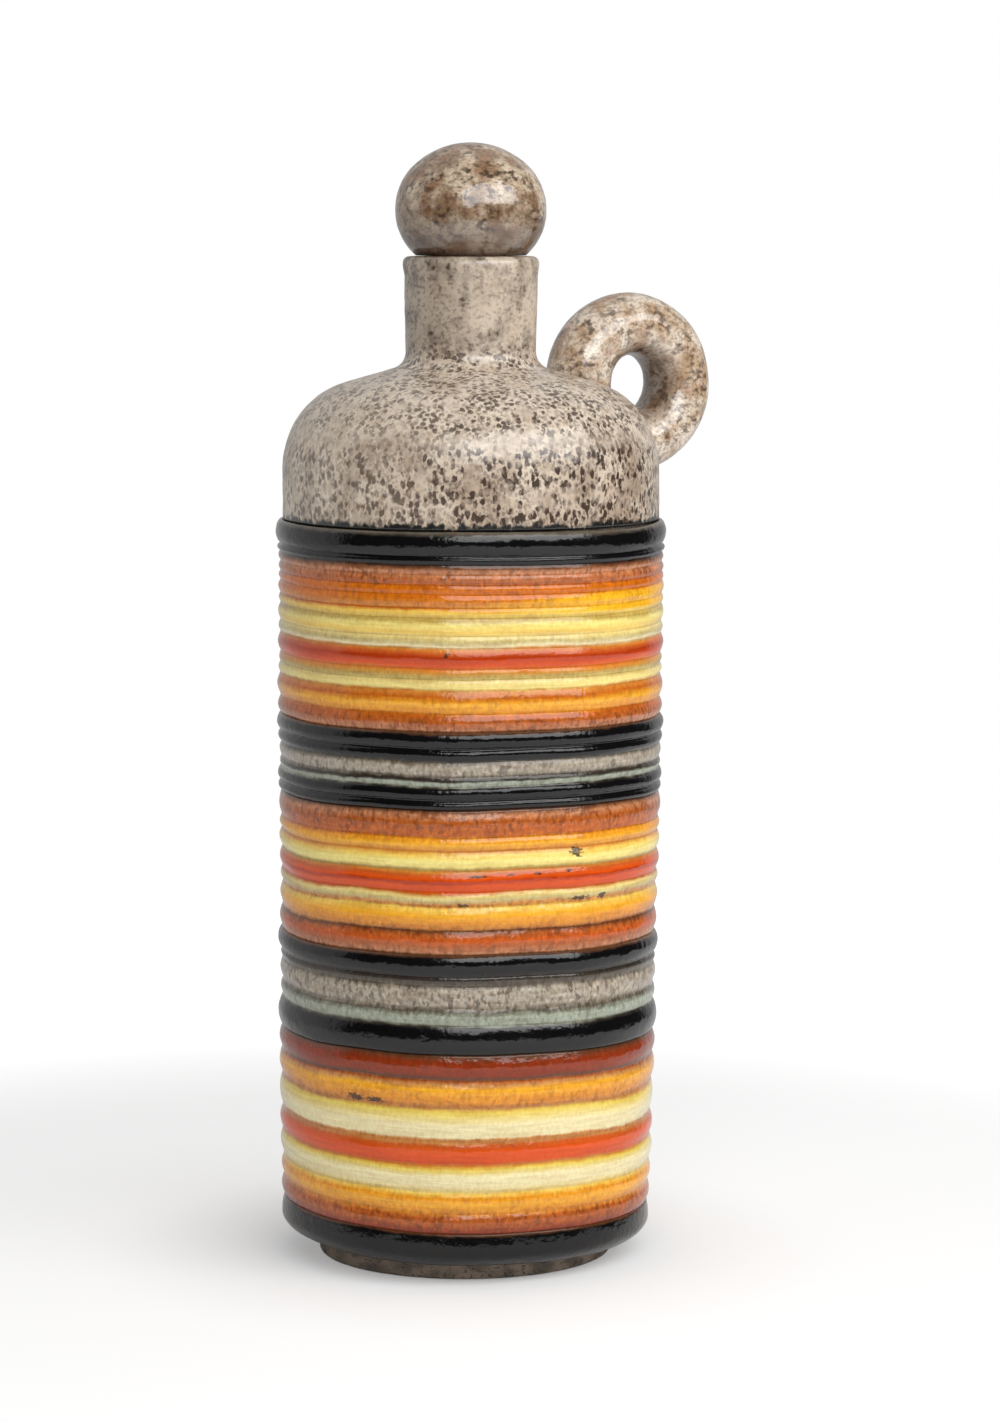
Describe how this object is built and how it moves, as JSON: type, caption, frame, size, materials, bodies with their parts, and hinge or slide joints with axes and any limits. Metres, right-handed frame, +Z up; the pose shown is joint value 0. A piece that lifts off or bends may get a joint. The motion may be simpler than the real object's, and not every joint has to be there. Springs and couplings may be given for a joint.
{
  "type": "stoppered ceramic bottle",
  "caption": "Tall cylindrical ceramic bottle with coloured glaze bands over throwing ridges, a speckled shoulder and neck, a ring handle and a ball stopper.",
  "frame": {"origin": "on the bottle's axis, in the plane of the foot it stands on", "axes": "+Z up along the bottle's axis, +X from the axis towards the ring handle"},
  "size_m": [0.1365, 0.1132, 0.3231],
  "materials": {
    "fired_clay": "bare fired clay, dry and slightly gritty, grey-brown",
    "slip": "fired joining slip, matt",
    "liner_glaze": "glossy clear liner glaze over the clay",
    "sand_glaze": "satin sand-coloured glaze with dark brown speckles",
    "mottled_glaze": "glossy sand glaze clouded with brown and pinkish patches",
    "black_glaze": "glossy black glaze, thick on the ridges",
    "rust_glaze": "glossy rust-brown glaze, freckled and darker in the grooves",
    "orange_glaze": "glossy orange glaze bleeding into its neighbours",
    "amber_glaze": "glossy amber glaze, deeper in the grooves",
    "yellow_glaze": "glossy yellow glaze broken by cream on the ridges",
    "cream_glaze": "glossy pale cream-yellow glaze",
    "red_glaze": "glossy orange-red glaze, smooth and thick",
    "grey_glaze": "glossy grey glaze, greenish where thick, with dark spots in the grooves",
    "cork": "natural cork, cut and lightly sanded"
  },
  "bodies": {
    "bottle": {"amber_band_1": "amber_glaze", "amber_band_2": "amber_glaze", "amber_band_3": "amber_glaze", "amber_band_4": "amber_glaze", "amber_band_5": "amber_glaze", "base_slab": "fired_clay", "black_band_1": "black_glaze", "black_band_2": "black_glaze", "black_band_3": "black_glaze", "black_band_4": "black_glaze", "black_band_5": "black_glaze", "black_band_6": "black_glaze", "body_wall": "fired_clay", "cream_band_1": "cream_glaze", "cream_band_2": "cream_glaze", "grey_band_1": "grey_glaze", "grey_band_2": "grey_glaze", "handle_glaze": "mottled_glaze", "interior_glaze": "liner_glaze", "lower_handle_slip": "slip", "neck": "fired_clay", "neck_glaze": "sand_glaze", "orange_band_1": "orange_glaze", "red_band_1": "red_glaze", "red_band_2": "red_glaze", "red_band_3": "red_glaze", "ring_handle": "fired_clay", "rust_band_1": "rust_glaze", "rust_band_2": "rust_glaze", "rust_band_3": "rust_glaze", "rust_band_4": "rust_glaze", "rust_band_5": "rust_glaze", "rust_band_6": "rust_glaze", "shoulder": "fired_clay", "shoulder_glaze": "sand_glaze", "upper_handle_slip": "slip", "yellow_band_1": "yellow_glaze", "yellow_band_2": "yellow_glaze", "yellow_band_3": "yellow_glaze", "yellow_band_4": "yellow_glaze"},
    "stopper": {"stopper_ball": "fired_clay", "ball_glaze": "mottled_glaze", "stopper_cork": "cork"}
  },
  "joints": [
    {"name": "stopper_lift", "type": "slide", "parent": "bottle", "child": "stopper", "axis": [0, 0, 1], "range_m": [0, 0.04]}
  ]
}
